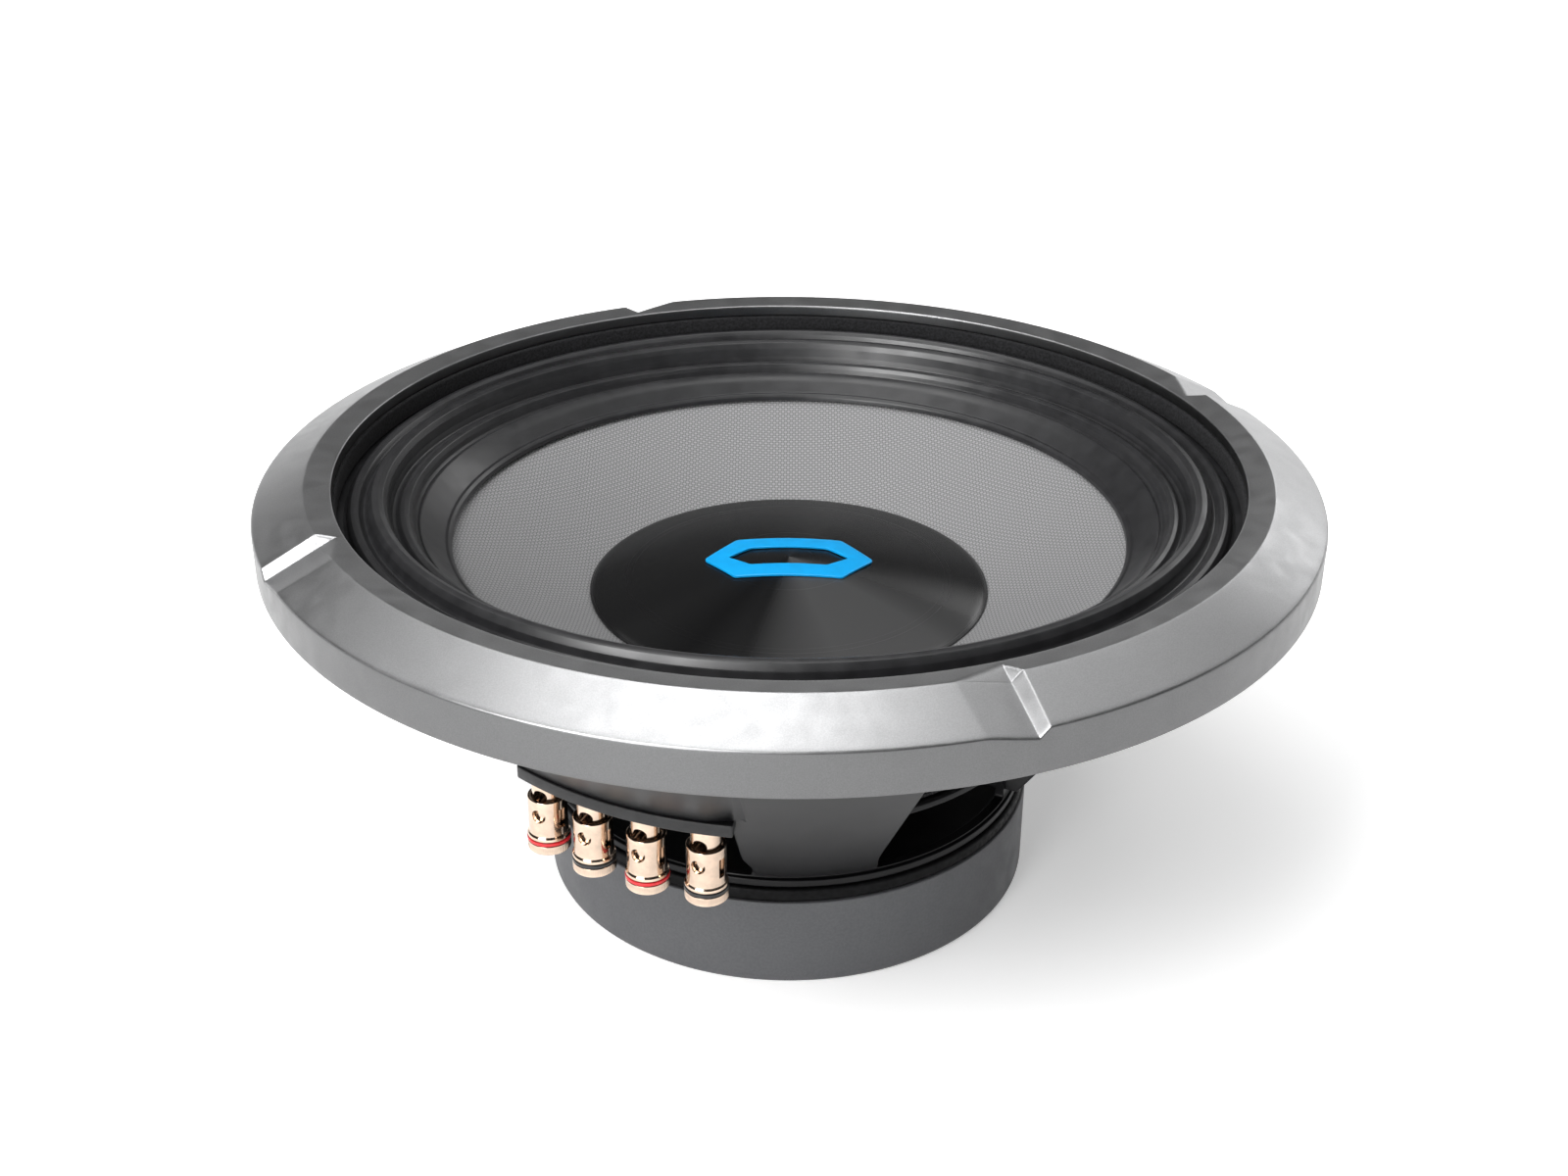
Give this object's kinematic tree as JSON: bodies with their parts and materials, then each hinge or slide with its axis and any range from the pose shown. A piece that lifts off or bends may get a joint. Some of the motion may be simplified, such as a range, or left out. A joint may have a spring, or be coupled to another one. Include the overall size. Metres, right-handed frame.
{
  "type": "car subwoofer speaker",
  "caption": "Round subwoofer driver: notched silver trim ring, ridged rubber surround, woven grey cone, black dust cap, armed basket, booted magnet and four push terminals.",
  "frame": {"origin": "on the speaker's axis at the bottom of the magnet boot, where it stands on a surface", "axes": "+Z along the speaker's axis, out of the cone; the terminals are on the -X -Y side"},
  "size_m": [0.3264, 0.3264, 0.1428],
  "materials": {
    "trim_silver": "satin metallic silver",
    "basket_black": "gloss black paint",
    "gasket_foam": "closed-cell foam, matte",
    "surround_rubber": "satin charcoal rubber",
    "spider_cotton": "woven cotton, resin treated",
    "ferrite": "sintered ferrite, matte",
    "plated_steel": "zinc plated steel",
    "boot_rubber": "moulded rubber, satin grey",
    "former_aluminium": "plain aluminium",
    "black_mesh": "matte black",
    "terminal_plastic": "satin black moulding",
    "woven_cone": "fine grey woven glass fibre, sealed",
    "cap_black": "spun-finish satin black",
    "badge_cyan": "satin cyan",
    "coil_copper": "enamelled copper wire",
    "tinsel_copper": "braided copper",
    "terminal_gold": "champagne gold plating, polished",
    "band_red": "red ring",
    "band_black": "black ring"
  },
  "bodies": {
    "frame": {"basket": "basket_black", "trim_ring": "trim_silver", "mounting_gasket": "gasket_foam", "surround": "surround_rubber", "spider": "spider_cotton", "top_plate": "basket_black", "ferrite_magnet": "ferrite", "back_plate_and_pole": "plated_steel", "magnet_boot": "boot_rubber", "shorting_ring": "former_aluminium", "vent_screen": "black_mesh", "terminal_plate": "terminal_plastic", "basket_screw_1": "plated_steel", "basket_screw_2": "plated_steel", "basket_screw_3": "plated_steel", "basket_screw_4": "plated_steel", "basket_screw_5": "plated_steel", "terminal_plate_screw_1": "plated_steel", "terminal_plate_screw_2": "plated_steel", "terminal_post_1": "terminal_gold", "terminal_post_2": "terminal_gold", "terminal_post_3": "terminal_gold", "terminal_post_4": "terminal_gold", "solder_lug_1": "terminal_gold", "solder_lug_2": "terminal_gold", "solder_lug_3": "terminal_gold", "solder_lug_4": "terminal_gold", "terminal_nut_1": "plated_steel", "terminal_nut_2": "plated_steel", "terminal_nut_3": "plated_steel", "terminal_nut_4": "plated_steel", "terminal_spring_1": "plated_steel", "terminal_spring_2": "plated_steel", "terminal_spring_3": "plated_steel", "terminal_spring_4": "plated_steel", "tinsel_lead_1": "tinsel_copper", "tinsel_lead_2": "tinsel_copper", "tinsel_lead_3": "tinsel_copper", "tinsel_lead_4": "tinsel_copper"},
    "cone assembly": {"cone": "woven_cone", "dust_cap": "cap_black", "badge": "badge_cyan", "coil_former": "former_aluminium", "voice_coil_1": "coil_copper", "voice_coil_2": "coil_copper", "spider_collar": "black_mesh"},
    "terminal sleeve 1": {"push_sleeve_1": "terminal_gold", "colour_band_1": "band_red"},
    "terminal sleeve 2": {"push_sleeve_2": "terminal_gold", "colour_band_2": "band_black"},
    "terminal sleeve 3": {"push_sleeve_3": "terminal_gold", "colour_band_3": "band_red"},
    "terminal sleeve 4": {"push_sleeve_4": "terminal_gold", "colour_band_4": "band_black"}
  },
  "joints": [
    {"name": "cone_travel", "type": "slide", "parent": "frame", "child": "cone assembly", "axis": [0, 0, 1], "range_m": [-0.01, 0.01], "stiffness_N_per_m": 3200, "deforming": ["surround", "spider", "tinsel_lead_1", "tinsel_lead_2", "tinsel_lead_3", "tinsel_lead_4"]},
    {"name": "terminal_press_1", "type": "slide", "parent": "frame", "child": "terminal sleeve 1", "axis": [0, 0, 1], "range_m": [0, 0.006], "stiffness_N_per_m": 900, "springref_m": -0.003, "deforming": ["terminal_spring_1"]},
    {"name": "terminal_press_2", "type": "slide", "parent": "frame", "child": "terminal sleeve 2", "axis": [0, 0, 1], "range_m": [0, 0.006], "stiffness_N_per_m": 900, "springref_m": -0.003, "deforming": ["terminal_spring_2"]},
    {"name": "terminal_press_3", "type": "slide", "parent": "frame", "child": "terminal sleeve 3", "axis": [0, 0, 1], "range_m": [0, 0.006], "stiffness_N_per_m": 900, "springref_m": -0.003, "deforming": ["terminal_spring_3"]},
    {"name": "terminal_press_4", "type": "slide", "parent": "frame", "child": "terminal sleeve 4", "axis": [0, 0, 1], "range_m": [0, 0.006], "stiffness_N_per_m": 900, "springref_m": -0.003, "deforming": ["terminal_spring_4"]}
  ]
}
